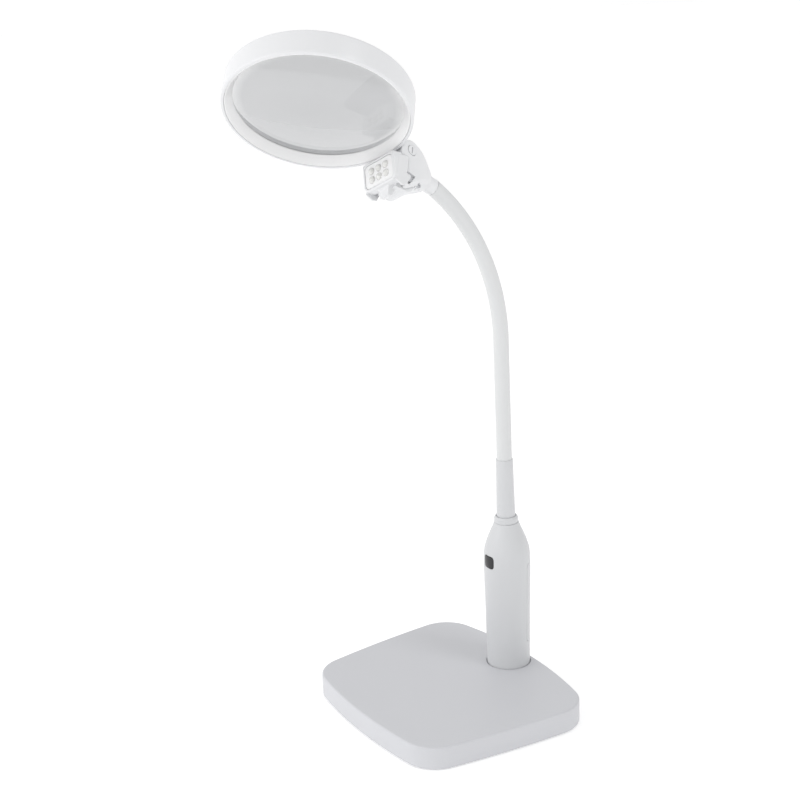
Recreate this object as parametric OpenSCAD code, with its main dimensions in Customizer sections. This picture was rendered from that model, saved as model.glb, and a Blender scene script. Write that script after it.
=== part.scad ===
// Magnifying lamp: weighted base, battery post, gooseneck, swivel yoke,
// hinged ring with a large lens and a tilting pod of six lights under its rim.
// Millimetres, +Z up, origin at the centre of the base on the floor,
// front of the lamp towards -Y.

/* [Base] */
// Half width of the base at its front corners
base_wf = 80; // [70:1:90]
// Half width of the base at its back corners
base_wb = 88.9; // [78:0.1:100]
// Half depth of the base between its corners
base_d = 70.1; // [62:0.1:78]
// Corner radius of the base
base_rc = 26.3; // [18:0.1:32]
// Height of the base above the floor
base_h = 17.6; // [16.5:0.1:19]
// Wall thickness of the base cover
base_wall = 2.5; // [2:0.1:3]
// Thickness of the steel weight
weight_t = 6.4; // [4:0.1:7]

/* [Post] */
// Distance of the post axis behind the centre of the base
post_y = 59.7; // [56:0.1:62]
// Wall thickness of the post
post_wall = 1.8; // [1.6:0.1:2]
// Half angle of the battery door around the back of the post
door_half = 69; // [60:1:72]
// Lower edge of the battery door
door_z0 = 36; // [34:0.5:38]
// Upper edge of the battery door
door_z1 = 100; // [98:0.5:101]

/* [Switch] */
// Width of the button
button_w = 11; // [10:0.1:12]
// Height of the button
button_h = 9.8; // [9:0.1:10.4]
// Height of the centre of the button
button_z = 102.3; // [101:0.1:102.8]
// Travel of the button
button_travel = 1.5; // [1:0.1:1.5]

/* [Neck] */
// Radius of the gooseneck
neck_r = 5.6; // [5.4:0.1:5.8]
// Forward lean of the straight part, degrees
neck_lean = 0.78; // [0:0.01:1]
// Length of the straight part above the post
neck_straight = 139.5; // [135:0.5:145]
// Bend radius of the curved part
neck_bend_r = 152.3; // [148:0.1:156]
// Direction of the top end, degrees from upright
neck_end = 50; // [48:0.5:52]
// Distance from the post to the first link joint
link_first = 60; // [58:1:62]
// Distance between link joints
link_pitch = 32; // [30:1:32]
// Clearance between two links
link_gap = 0.3; // [0.25:0.01:0.35]

/* [Head] */
// Rise of the line from the neck to the ring centre, degrees
head_rise = 32.5; // [30:0.1:35]
// Roll of the head about that line, degrees
head_roll = 29.3; // [0:0.1:45]
// Tilt of the ring against that line, degrees
head_tilt = 2.3; // [0:0.1:4]
// Distance from the end of the neck to the ring centre
head_reach = 101.7; // [101:0.1:102.5]

/* [Ring and lens] */
// Outer radius of the ring
ring_r = 61.2; // [60.5:0.1:61.5]
// Depth of the ring
ring_t = 17.6; // [17:0.1:18]
// Visible radius of the lens
lens_clear_r = 54.6; // [53:0.1:55]
// Radius of the lens at its edge
lens_r = 58; // [57.5:0.1:58.2]

/* [Lights] */
// Distance between columns of lights
led_px = 6.7; // [6:0.1:7]
// Distance between rows of lights
led_pz = 6; // [5.6:0.1:6.4]
// Diameter of one light
led_d = 5; // [4.8:0.1:5]

/* [Hidden] */
$fn = 72;

white = [0.93, 0.935, 0.94];
pale = [0.86, 0.87, 0.88];
steel = [0.62, 0.63, 0.65];
dark = [0.06, 0.06, 0.065];

// ---- base outline: four bulged sides joined by round corners ----
bp = [[base_wf - base_rc, -base_d + base_rc], [base_wb - base_rc, base_d - base_rc],
      [-(base_wb - base_rc), base_d - base_rc], [-(base_wf - base_rc), -base_d + base_rc]];
bulge = [1.25, 7.55, 1.25, 4.0];
function blen(i) = norm(bp[(i + 1) % 4] - bp[i]);
function bth(i) = atan2((bp[(i + 1) % 4] - bp[i])[1], (bp[(i + 1) % 4] - bp[i])[0]);
function bdl(i) = atan(4 * bulge[i] / blen(i));
function bn(i, s) = bth(i) - 90 - atan(4 * bulge[i] * (1 - 2 * s) / blen(i));
function wrap(a) = a < -180 ? a + 360 : (a > 180 ? a - 360 : a);
function bside(i, r) = [for (k = [0:8]) let (s = k / 8, a = bn(i, s), c = bth(i) - 90,
    p = bp[i] * (1 - s) + bp[(i + 1) % 4] * s)
    p + 4 * bulge[i] * s * (1 - s) * [cos(c), sin(c)] + r * [cos(a), sin(a)]];
function bcorner(i, r) = let (a0 = bn(i, 1), j = (i + 1) % 4, da = wrap(bn(j, 0) - a0))
    [for (k = [1:11]) bp[j] + r * [cos(a0 + da * k / 12), sin(a0 + da * k / 12)]];
function outline(off) = [for (i = [0:3]) for (p = concat(bside(i, base_rc + off), bcorner(i, base_rc + off))) p];
module slab(off, z0, z1) translate([0, 0, z0]) linear_extrude(z1 - z0) polygon(outline(off));

screw_xy = [[-60, -50], [60, -50], [-68, 46], [68, 46]];
post_xy = [[-10, post_y], [10, post_y]];
module tube(r1, r2, h) difference() {
  cylinder(r = r1, h = h);
  translate([0, 0, -1]) cylinder(r = r2, h = h + 2);
}
module screw(head_r, head_h, shank_r, len) {
  difference() {
    cylinder(r = head_r, h = head_h);
    for (a = [0, 90]) rotate([0, 0, a]) translate([-head_r * 0.6, -0.4, -1]) cube([head_r * 1.2, 0.8, 1 + head_h * 0.5]);
  }
  translate([0, 0, head_h]) cylinder(r = shank_r, h = len);
}

module base_pad() color([0.12, 0.12, 0.13]) difference() {
  slab(-5, 0, 1.5);
  for (p = screw_xy) translate([p[0], p[1], -1]) cylinder(r = 4, h = 4);
}
module base_plate() color(pale) difference() {
  slab(-base_wall - 0.3, 1.5, 3.9);
  for (p = screw_xy) translate([p[0], p[1], 0]) {
    cylinder(r = 1.6, h = 6);
    cylinder(r = 3.1, h = 3.1);
  }
}
module base_weight() color(steel) difference() {
  translate([-66, -56, 4.4]) cube([132, 88, weight_t]);
  for (x = [-60, 60]) translate([x, -50, 3]) cylinder(r = 5, h = 12);
  for (x = [-66, 66]) translate([x, 34, 3]) cylinder(r = 14, h = 12);
}
module base_cover() color(pale) difference() {
  union() {
    difference() {
      slab(0, 0.8, base_h);
      slab(-base_wall, -1, base_h - base_wall);
    }
    for (p = screw_xy) translate([p[0], p[1], 4.1]) cylinder(r = 3.6, h = base_h - 4.1 - 1);
    translate([0, post_y - 1.4, 6]) cylinder(r = 19, h = base_h - 6 - 1);
  }
  for (p = screw_xy) translate([p[0], p[1], 3]) cylinder(r = 1.5, h = 10);
  translate([0, post_y, 8.6]) cylinder(r = 16.75, h = 20);
  for (p = post_xy) translate([p[0], p[1], 4]) cylinder(r = 1.6, h = 8);
}
module base_screws() color(steel) for (p = screw_xy) translate([p[0], p[1], 1.6]) screw(2.8, 1.4, 1.4, 8);
module post_screws() color(steel) for (p = post_xy) translate([p[0], p[1], 4.5]) screw(2.8, 1.4, 1.4, 10);

// ---- post ----
post_prof = [[8.8, 16.3], [17.6, 16.3], [40, 16.5], [60, 16.75], [80, 17.15], [95, 17.4], [104, 17.3], [109, 16.9],
             [112, 16.3], [115, 15.4], [118, 14.4], [121, 13.2], [124, 11.9], [127, 10.6], [129.5, 9.6], [130.8, 9.1]];
function pr(z) = lookup(z, post_prof);
module post_solid(dr, z0, z1) rotate_extrude() polygon(concat([[0, z0]], [[pr(z0) + dr, z0]],
    [for (p = post_prof) if (p[0] > z0 && p[0] < z1) [p[1] + dr, p[0]]], [[pr(z1) + dr, z1]], [[0, z1]]));
module door_wedge(half, z0, z1) translate([0, 0, z0]) linear_extrude(z1 - z0)
  polygon([[0, 0], [40 * sin(half), 40 * cos(half)], [40 * sin(half * 0.6), 40 * cos(half * 0.3)], [0, 45],
           [-40 * sin(half * 0.6), 40 * cos(half * 0.3)], [-40 * sin(half), 40 * cos(half)]]);
module rrect_y(w, h, r, y0, y1) translate([0, y1, 0]) rotate([90, 0, 0]) linear_extrude(y1 - y0) {
  square([w - 2 * r, h], center = true);
  square([w, h - 2 * r], center = true);
  for (x = [-1, 1]) for (z = [-1, 1]) translate([x * (w / 2 - r), z * (h / 2 - r)]) circle(r = r, $fn = 32);
}
module post_housing() color(white) translate([0, post_y, 0]) difference() {
  union() {
    difference() {
      post_solid(0, 8.8, 130.8);
      post_solid(-post_wall, 11, 127);
      translate([0, 0, 120]) cylinder(r = 7.15, h = 20);
    }
    for (x = [-10, 10]) translate([x, 0, 10]) cylinder(r = 3.4, h = 8);
  }
  for (x = [-10, 10]) translate([x, 0, 5]) cylinder(r = 1.5, h = 12);
  difference() {
    door_wedge(door_half, door_z0, door_z1);
    translate([0, 0, 30]) cylinder(r = 13.2, h = 80);
  }
  translate([0, 0, button_z]) rrect_y(button_w + 0.7, button_h + 0.7, 2.8, -20, -10);
}
module battery_door() color(white) translate([0, post_y, 0]) intersection() {
  difference() {
    post_solid(0, door_z0 + 0.3, door_z1 - 0.3);
    post_solid(-post_wall, door_z0 - 1, door_z1 + 1);
  }
  translate([0, 0.35, 0]) door_wedge(door_half - 0.4, door_z0, door_z1);
}
module battery_tray() color(dark) translate([0, post_y, 0]) {
  translate([-11, -8.3, 37]) cube([22, 1.1, 61.2]);
  for (z = [37, 96.6]) translate([0, 0, z]) intersection() {
    cylinder(r = 13.9, h = 1.6);
    translate([-20, -8.3, -1]) cube([40, 14.5, 4]);
  }
  translate([-0.2, -8, 40]) cube([0.4, 5, 45]);
}
module batteries() color([0.25, 0.3, 0.28]) translate([0, post_y, 0]) for (x = [-7.35, 7.35]) translate([x, 0, 42]) {
  flip = x > 0 ? 1 : 0;
  translate([0, 0, flip * 50.4]) rotate([flip * 180, 0, 0]) {
    cylinder(r = 7.05, h = 49);
    translate([0, 0, 48]) cylinder(r = 2.7, h = 2.4);
  }
}
module coil(r0, r1, h, turns, w) rotate_extrude($fn = 48)
  for (k = [0:turns]) translate([r0 + (r1 - r0) * k / turns, h * k / turns]) circle(r = w, $fn = 24);
module battery_springs() color(steel) translate([0, post_y, 0]) {
  translate([-7.35, 0, 39.6]) coil(4.4, 3.0, 1.8, 3, 0.35);
  translate([7.35, 0, 93.05]) coil(3.0, 4.4, 1.8, 3, 0.35);
}
module battery_contacts() color(steel) translate([0, post_y, 0]) {
  translate([-11, -4.5, 38.65]) cube([22, 9, 0.45]);
  for (x = [-7.35, 7.35]) translate([x - 3.8, -4.5, 95.8]) cube([7.6, 9, 0.5]);
}
module control_board() color([0.1, 0.35, 0.2]) translate([0, post_y, 0]) {
  translate([-9, -9.9, 86]) cube([18, 1.4, 24]);
  translate([-3, -11.6, 90]) cube([6, 1.8, 4]);
}
module switch_body() color(dark) translate([0, post_y, 0]) {
  translate([-4.2, -12.2, button_z - 4.2]) cube([8.4, 2.25, 8.4]);
}
module switch_button() color(dark) translate([0, post_y, 0]) intersection() {
  translate([0, 0, button_z]) rrect_y(button_w, button_h, 2.5, -20, -13.9);
  translate([0, 0, 80]) cylinder(r = 17.75, h = 40);
}

// ---- neck ----
arc_sweep = neck_end - neck_lean;
arc_len = neck_bend_r * arc_sweep * PI / 180;
neck_len = neck_straight + arc_len;
nb = [0, post_y - 0.2, 130];
function phi(s) = s <= neck_straight ? neck_lean : neck_lean + (s - neck_straight) / neck_bend_r * 180 / PI;
function npos(s) = s <= neck_straight ? nb + s * [0, -sin(neck_lean), cos(neck_lean)]
  : nb + neck_straight * [0, -sin(neck_lean), cos(neck_lean)]
    + neck_bend_r * [0, -(cos(neck_lean) - cos(phi(s))), sin(phi(s)) - sin(neck_lean)];
function link_s(i) = link_first + (i - 1) * link_pitch;
module at_neck(s) translate(npos(s)) rotate([phi(s), 0, 0]) children();
// frame at p whose z axis points to q
module aim(p, q) {
  d = q - p;
  translate(p) rotate([acos(d[2] / norm(d)) * (d[1] > 0 ? -1 : 1), 0, 0]) children();
}
module ball_rod(len, last) difference() {
  union() {
    cylinder(r = neck_r, h = len);
    sphere(r = neck_r, $fn = 48);
  }
  if (!last) translate([0, 0, len]) sphere(r = neck_r + link_gap, $fn = 48);
}
module neck_link(i) {
  p = npos(link_s(i));
  q = npos(link_s(i + 1));
  aim(p, q) ball_rod(norm(q - p), false);
}
module neck_collar() color(white) at_neck(0) difference() {
  union() {
    translate([0, 0, 1]) cylinder(r = 8.9, h = 3.4);
    translate([0, 0, 4.4]) cylinder(r1 = 8.9, r2 = 7.9, h = 1.4);
  }
  translate([0, 0, -1]) cylinder(r = 7.1, h = 12);
}
module neck_sleeve() color(white) at_neck(0) difference() {
  union() {
    translate([0, 0, -8]) cylinder(r = 6.95, h = 14);
    translate([0, 0, 6]) cylinder(r1 = 6.95, r2 = 6.2, h = 44);
    translate([0, 0, -9]) cylinder(r = 8.4, h = 2);
  }
  translate([0, 0, -10]) cylinder(r = neck_r + 0.05, h = 70);
}
module neck_root() color(white) difference() {
  at_neck(2) cylinder(r = neck_r, h = link_s(1) - 2);
  translate(npos(link_s(1))) sphere(r = neck_r + link_gap, $fn = 48);
}
module neck_link_1() color(white) neck_link(1);
module neck_link_2() color(white) neck_link(2);
module neck_link_3() color(white) neck_link(3);
module neck_link_4() color(white) neck_link(4);
module neck_link_5() color(white) neck_link(5);
module neck_link_6() color(white) neck_link(6);
module neck_link_7() color(white) difference() {
  aim(npos(link_s(7)), ne) ball_rod(norm(ne - npos(link_s(7))) + 2, true);
  at_swivel() translate([0, 0, 0]) rotate([-90, 0, 0]) cylinder(r = 20, h = 30);
  at_swivel() translate([0, -6, 0]) rotate([-90, 0, 0]) cylinder(r = 3.05, h = 20);
}

// ---- head frames: x across the head, y from the neck to the ring, z to the underside ----
ne = npos(neck_len);
module at_swivel() translate(ne) rotate([180 - head_rise, 0, 0]) rotate([0, head_roll, 0]) children();
module at_ring() at_swivel() translate([0, head_reach, 0]) rotate([head_tilt, 0, 0]) children();
module rod_x(y, z, r, x0, x1, fn = 64) translate([x0, y, z]) rotate([0, 90, 0]) cylinder(r = r, h = x1 - x0, $fn = fn);
module box(x0, x1, y0, y1, z0, z1) translate([x0, y0, z0]) cube([x1 - x0, y1 - y0, z1 - z0]);

h1y = -69.4; h1z = -3;
h2y = -70; h2z = 18;
yw = 13.4;

module neck_ferrule() color(steel) at_swivel() rotate([-90, 0, 0]) {
  translate([0, 0, -5.5]) cylinder(r = 3, h = 7);
  translate([0, 0, 0.1]) cylinder(r = 4, h = 14.9);
  translate([0, 0, 10]) cylinder(r = 6, h = 2.5);
}
module yoke_outer() intersection() {
  union() {
    translate([-yw, 0, 0]) rotate([90, 0, 90]) linear_extrude(2 * yw) polygon([
      [-70.5, -10.5], [-80, -8.4], [-90, -5.6], [-97, -4.1], [-101.2, -4.0], [-101.9, 12.0], [-97, 12.0], [-93.6, 14.2],
      [-90, 15.8], [-84, 17.4], [-80, 19.9], [-74, 23.6], [-69, 25.8], [-66.9, 25.2], [-66.9, 4.7], [-66.9, -3], [-68, -10.5]]);
    rod_x(h1y, h1z, 7.6, -yw, yw);
    box(-yw, yw, h1y, -60, h1z, 3.9);
  }
  translate([0, 0, -40]) linear_extrude(80) polygon([
    [yw, -50], [yw, -73], [12.6, -78], [10.2, -85], [8.4, -91.5], [8, -96], [8, -110], [-8, -110], [-8, -96], [-8.4, -91.5],
    [-10.2, -85], [-12.6, -78], [-yw, -73], [-yw, -50]]);
}
module yoke_body() difference() {
  yoke_outer();
  // room for the ring and its tongue
  translate([0, 0, -60]) cylinder(r = 62.1, h = 120, $fn = 180);
  rod_x(h1y, h1z, 8.2, -7.3, 7.3);
  box(-7.3, 7.3, h1y - 8.2, -50, -30, h1z);
  box(-7.3, 7.3, h1y, -50, h1z - 1, 7);
  // room for the back of the light pod
  rod_x(h2y, h2z, 8.5, -9.2, 9.2);
  box(-9.2, 9.2, h2y, -50, 5, 40);
  box(-9.2, 9.2, -76.5, -50, 18, 40);
  // cable way from the neck to both hinges
  box(-4.5, 4.5, -86, -72, -1, 15);
  // pocket that shows the end of the pod pin
  for (s = [-1, 1]) translate([s > 0 ? 11.2 : -15.2, 0, 0]) rotate([90, 0, 90]) linear_extrude(4)
    polygon([[-60, 13.9], [-66.9, 13.9], [-74.4, 14.9], [-69.8, 22.8], [-60, 22.8]]);
  // bores of the two hinges
  rod_x(h1y, h1z, 2.05, -20, 20);
  rod_x(h1y, h1z, 3.6, 11.9, 20);
  rod_x(h1y, h1z, 3.6, -20, -11.4, 6);
  rod_x(h2y, h2z, 1.55, -20, 20);
  // swivel seat
  translate([0, -head_reach * cos(head_tilt), head_reach * sin(head_tilt)]) rotate([-head_tilt, 0, 0]) rotate([-90, 0, 0]) {
    translate([0, 0, -8]) cylinder(r = 20, h = 8.4);
    difference() {
      cylinder(r = 20, h = 7.6);
      translate([0, 0, -1]) cylinder(r = 5.9, h = 12);
    }
    cylinder(r = 4.06, h = 18);
    translate([0, 0, 9.7]) cylinder(r = 6.3, h = 3.1);
  }
  // screw holes that join the halves
  for (p = ys) {
    rod_x(p[0], p[1], 1.25, -4.8, 20);
    rod_x(p[0], p[1], 2.3, p[2], 20);
  }
}
ys = [[-80.5, 16.6, 8.2], [-84, -3.6, 7.2]];
module yoke_right() color(white) at_ring() intersection() { yoke_body(); box(0.03, 30, -120, 0, -40, 60); }
module yoke_left() color(white) at_ring() intersection() { yoke_body(); box(-30, -0.03, -120, 0, -40, 60); }
module yoke_screws() color(steel) at_ring() for (p = ys) {
  rod_x(p[0], p[1], 1.2, -4.5, p[2] + 0.5);
  difference() {
    rod_x(p[0], p[1], 2.2, p[2] + 0.1, p[2] + 1.3);
    box(p[2] + 0.8, p[2] + 2, p[0] - 1.5, p[0] + 1.5, p[1] - 0.3, p[1] + 0.3);
  }
}
module ring_hinge_screw() color(steel) at_ring() difference() {
  union() {
    rod_x(h1y, h1z, 1.98, -12.6, 12.6);
    rod_x(h1y, h1z, 3.4, 12, 13.6);
  }
  box(12.8, 15, h1y - 0.5, h1y + 0.5, h1z - 2.4, h1z + 2.4);
}
module ring_hinge_nut() color(steel) at_ring() difference() {
  rod_x(h1y, h1z, 3.4, -13.3, -11.5, 6);
  rod_x(h1y, h1z, 2.02, -15, -10);
}
module ring_hinge_washers() color(steel) at_ring() for (x = [-7.2, 6.75]) difference() {
  rod_x(h1y, h1z, 5, x, x + 0.45);
  rod_x(h1y, h1z, 2.1, x - 1, x + 2);
}
module lens_ring() color(white) at_ring() difference() {
  union() {
    rotate_extrude($fn = 180) polygon([[59, 0], [60.2, 0], [60.8, -0.4], [ring_r, -1.2], [ring_r, 1.2 - ring_t],
      [60.8, 0.4 - ring_t], [60.2, -ring_t], [58, -ring_t], [57.2, 0.6 - ring_t], [55.2, -10.4], [55.2, -9.8], [59, -9.8]]);
    difference() {
      union() {
        rod_x(h1y, h1z, 6.6, -6.6, 6.6);
        box(-6.6, 6.6, h1y, -59.2, h1z - 6.6, h1z + 2.8);
      }
      translate([0, 0, -30]) cylinder(r = 60.3, h = 60, $fn = 180);
    }
  }
  rod_x(h1y, h1z, 2.05, -20, 20);
}
module lens() color([0.85, 0.9, 0.92, 0.4]) at_ring() intersection() {
  translate([0, 0, -9.6]) cylinder(r = lens_r, h = 30, $fn = 180);
  translate([0, 0, -30]) cylinder(r = lens_r, h = 30, $fn = 180);
  union() {
    translate([0, 0, -9.6]) cylinder(r = lens_r, h = 2.5, $fn = 180);
    intersection() {
      translate([0, 0, -7.1]) cylinder(r = 54, h = 10, $fn = 180);
      translate([0, 0, -7.1 - sqrt(pow(lens_cap_r, 2) - 54 * 54)]) sphere(r = lens_cap_r, $fn = 180);
    }
  }
}
lens_cap_r = (54 * 54 + 5.6 * 5.6) / (2 * 5.6);
module lens_retainer() color(white) at_ring() rotate_extrude($fn = 180)
  polygon([[58.9, -0.5], [58.9, -7], [lens_clear_r, -7], [lens_clear_r, -6.3], [58.3, -0.5]]);

// ---- light pod: frame on the middle of its face, y out of the face ----
module at_pod() at_ring() translate([0, -53.7, 15.8]) rotate([12, 0, 0]) children();
pw = 15.2; pzt = -10.2; pzb = 10;
module pod_outer() {
  intersection() {
    difference() {
      union() {
        box(-pw + 3, pw - 3, -13.6, 0, pzt, pzb);
        box(-pw, pw, -13.6, 0, pzt, pzb - 4);
        for (s = [-1, 1]) translate([s * (pw - 4), 0, pzb - 4]) rotate([90, 0, 0]) cylinder(r = 4, h = 13.6);
      }
      translate([0, 0, 0]) box(-20, 20, -20, -8, -20, -8.6);
    }
    rotate([-12, 0, 0]) translate([-20, 0, 0]) rotate([90, 0, 90]) linear_extrude(40)
      polygon([[20, -20], [20, 30], [-4, 30], [-8.5, 11], [-11.9, -1], [-11.9, -20]]);
  }
  // tab under the face
  intersection() {
    translate([-5.5, -14, 5]) cube([11, 11.5, 12.4]);
    translate([0, 0, -5]) rotate([90, 0, 90]) linear_extrude(30, center = true) polygon([[-2.6, 0], [-3.4, 22], [-7, 22.3], [-14, 12], [-14, 0]]);
  }
}
module pod_in_ring() translate([0, -53.7, 15.8]) rotate([12, 0, 0]) children();
module pod_housing() color(white) at_ring() difference() {
  union() {
    pod_in_ring() pod_outer();
    rod_x(h2y, h2z, 8, -8.9, 8.9);
    intersection() {
      box(-8.9, 8.9, h2y, -62, h2z - 8, h2z + 8);
      pod_in_ring() box(-20, 20, -25, -2, -9, 12.5);
    }
    // side skins that lap over the yoke
    for (s = [-1, 1]) translate([s > 0 ? pw - 1.5 : -pw, 0, 0]) rotate([90, 0, 90]) linear_extrude(1.5)
      polygon([[-58, 8], [-65.4, 6], [-65.4, 17.5], [-69.9, 17.3], [-66.2, 23.8], [-63.5, 24.0], [-58, 21]]);
  }
  rod_x(h2y, h2z, 1.55, -20, 20);
  pod_in_ring() {
    box(-13.2, 13.2, -2.2, 1, pzt + 1.8, pzb - 1.9);
    box(-11.6, 11.6, -8.6, 0, -6.6, 6.6);
    box(-2, 2, -14.5, -8, -2, 2);
  }
}
module pod_face() color(white) at_pod() difference() {
  rrect_pod(26, 16.1, 3, -1.9, -0.4);
  for (x = [-1, 0, 1]) for (z = [-1, 1]) translate([x * led_px, 1, z * led_pz / 2]) rotate([90, 0, 0]) cylinder(r = led_d / 2 + 0.1, h = 5);
}
module rrect_pod(w, h, r, y0, y1) translate([0, 0, (pzt + pzb) / 2]) rrect_y(w, h, r, y0, y1);
module led_board() color([0.1, 0.35, 0.2]) at_pod() box(-11, 11, -6.6, -5.2, -6, 6);
module leds() color([0.95, 0.95, 0.85]) at_pod() for (x = [-1, 0, 1]) for (z = [-1, 1])
  translate([x * led_px, 0, z * led_pz / 2]) rotate([-90, 0, 0]) {
    translate([0, 0, -5.1]) cylinder(r = 2.8, h = 1.2);
    translate([0, 0, -5.1]) cylinder(r = led_d / 2, h = 4.4);
    intersection() {
      translate([0, 0, -0.7]) cylinder(r = led_d / 2, h = 5);
      translate([0, 0, -0.75]) sphere(r = led_d / 2, $fn = 48);
    }
  }
module pod_pin() color(steel) at_ring() {
  rod_x(h2y, h2z, 1.48, -11.7, 11.7);
  for (x = [-12.2, 11.4]) rod_x(h2y, h2z, 2.3, x, x + 0.8);
}

base_pad();
base_plate();
base_weight();
base_cover();
base_screws();
post_screws();
post_housing();
battery_door();
battery_tray();
batteries();
battery_springs();
battery_contacts();
control_board();
switch_body();
switch_button();
neck_collar();
neck_sleeve();
neck_root();
neck_link_1();
neck_link_2();
neck_link_3();
neck_link_4();
neck_link_5();
neck_link_6();
neck_link_7();
neck_ferrule();
yoke_left();
yoke_right();
yoke_screws();
ring_hinge_screw();
ring_hinge_nut();
ring_hinge_washers();
lens_ring();
lens();
lens_retainer();
pod_housing();
pod_face();
led_board();
leds();
pod_pin();
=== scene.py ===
# Magnifying lamp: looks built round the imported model. Lengths in this file are millimetres in the
# part's own frame until make() turns them into metres.
import math

import bpy
import bmesh
import numpy as np
from mathutils import Matrix, Vector


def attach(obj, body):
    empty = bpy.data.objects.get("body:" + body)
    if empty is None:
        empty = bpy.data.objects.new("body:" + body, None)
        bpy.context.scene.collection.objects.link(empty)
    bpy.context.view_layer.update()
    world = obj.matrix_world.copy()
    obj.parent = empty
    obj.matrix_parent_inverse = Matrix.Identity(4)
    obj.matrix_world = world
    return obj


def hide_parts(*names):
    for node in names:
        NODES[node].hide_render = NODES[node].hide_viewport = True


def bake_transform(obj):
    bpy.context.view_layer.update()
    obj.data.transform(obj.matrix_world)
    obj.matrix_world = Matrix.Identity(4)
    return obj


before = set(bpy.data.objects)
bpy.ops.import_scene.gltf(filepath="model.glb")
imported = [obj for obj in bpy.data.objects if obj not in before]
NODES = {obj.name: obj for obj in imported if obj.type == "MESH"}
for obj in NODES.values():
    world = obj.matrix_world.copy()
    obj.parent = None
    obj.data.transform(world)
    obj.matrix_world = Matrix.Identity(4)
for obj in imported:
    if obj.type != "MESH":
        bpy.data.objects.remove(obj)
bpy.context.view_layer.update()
MM = 0.001
D2R = math.pi / 180


# ------------------------------------------------------------------ the part's own geometry
def rx(a):
    c, s = math.cos(a * D2R), math.sin(a * D2R)
    return np.array([[1, 0, 0], [0, c, -s], [0, s, c]])


def ry(a):
    c, s = math.cos(a * D2R), math.sin(a * D2R)
    return np.array([[c, 0, s], [0, 1, 0], [-s, 0, c]])


def frame4(rot, pos):
    m = np.eye(4)
    m[:3, :3] = rot
    m[:3, 3] = pos
    return m


POST_Y = 59.7
LEAN, STRAIGHT, BEND_R, NECK_END, NECK_R = 0.78, 139.5, 152.3, 50.0, 5.6
LINK_FIRST, LINK_PITCH = 60.0, 32.0
RISE, ROLL, TILT, REACH = 32.5, 29.3, 2.3, 101.7
NB = np.array([0, POST_Y - 0.2, 130.0])
NECK_LEN = STRAIGHT + BEND_R * (NECK_END - LEAN) * D2R


def phi(s):
    return LEAN if s <= STRAIGHT else LEAN + (s - STRAIGHT) / BEND_R / D2R


def npos(s):
    up = np.array([0, -math.sin(LEAN * D2R), math.cos(LEAN * D2R)])
    if s <= STRAIGHT:
        return NB + s * up
    p, q = phi(s) * D2R, LEAN * D2R
    return NB + STRAIGHT * up + BEND_R * np.array([0, math.cos(p) - math.cos(q), math.sin(p) - math.sin(q)])


NE = npos(NECK_LEN)
R_SW = rx(180 - RISE) @ ry(ROLL)
M_SW = frame4(R_SW, NE)
M_RING = frame4(R_SW @ rx(TILT), NE + R_SW @ np.array([0, REACH, 0]))
M_POD = M_RING @ frame4(rx(12), [0, -53.7, 15.8])
M_NECK0 = frame4(rx(LEAN), NB)
H1Y, H1Z, H2Y, H2Z = -69.4, -3.0, -70.0, 18.0


# ------------------------------------------------------------------ mesh helpers
def make(name, verts, faces, mat, M=None, sharp=None, normals=None):
    v = np.asarray(verts, float)
    if M is not None:
        v = v @ M[:3, :3].T + M[:3, 3]
        if normals is not None:
            normals = normals @ M[:3, :3].T
    me = bpy.data.meshes.new(name)
    me.from_pydata((v * MM).tolist(), [], [[int(i) for i in f] for f in faces])
    me.update()
    bm = bmesh.new()
    bm.from_mesh(me)
    if normals is None:
        bmesh.ops.recalc_face_normals(bm, faces=bm.faces)
        if bm.calc_volume(signed=True) < 0:
            bmesh.ops.reverse_faces(bm, faces=bm.faces)
    bm.to_mesh(me)
    bm.free()
    me.polygons.foreach_set("use_smooth", [True] * len(me.polygons))
    if sharp:
        me.set_sharp_from_angle(angle=math.radians(sharp))
    if normals is not None:
        me.normals_split_custom_set_from_vertices(normals.tolist())
    me.materials.append(mat)
    ob = bpy.data.objects.new(name, me)
    bpy.context.scene.collection.objects.link(ob)
    return ob


def arc(cx, cz, r, a0, a1, n):
    return [(cx + r * math.cos(a * D2R), cz + r * math.sin(a * D2R)) for a in np.linspace(a0, a1, n)]


def rounded(points, radii, n=6, closed=True):
    """Polyline with round corners: each point with its own radius."""
    out = []
    k = len(points)
    for i, (p, r) in enumerate(zip(points, radii)):
        p = np.array(p, float)
        if r <= 0 or (not closed and i in (0, k - 1)):
            out.append(tuple(p))
            continue
        a = np.array(points[(i - 1) % k], float) - p
        b = np.array(points[(i + 1) % k], float) - p
        la, lb = np.linalg.norm(a), np.linalg.norm(b)
        a, b = a / la, b / lb
        ang = math.acos(max(-1, min(1, a @ b)))
        t = min(r / math.tan(ang / 2), la * 0.49, lb * 0.49)
        rr = t * math.tan(ang / 2)
        cdir = (a + b) / np.linalg.norm(a + b)
        c = p + cdir * rr / math.sin(ang / 2)
        s, e = p + a * t - c, p + b * t - c
        for u in np.linspace(0, 1, n):
            v = s * math.sin((1 - u) * (math.pi - ang)) + e * math.sin(u * (math.pi - ang))
            v = v / np.linalg.norm(v) * rr
            out.append(tuple(c + v))
    return out


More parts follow.
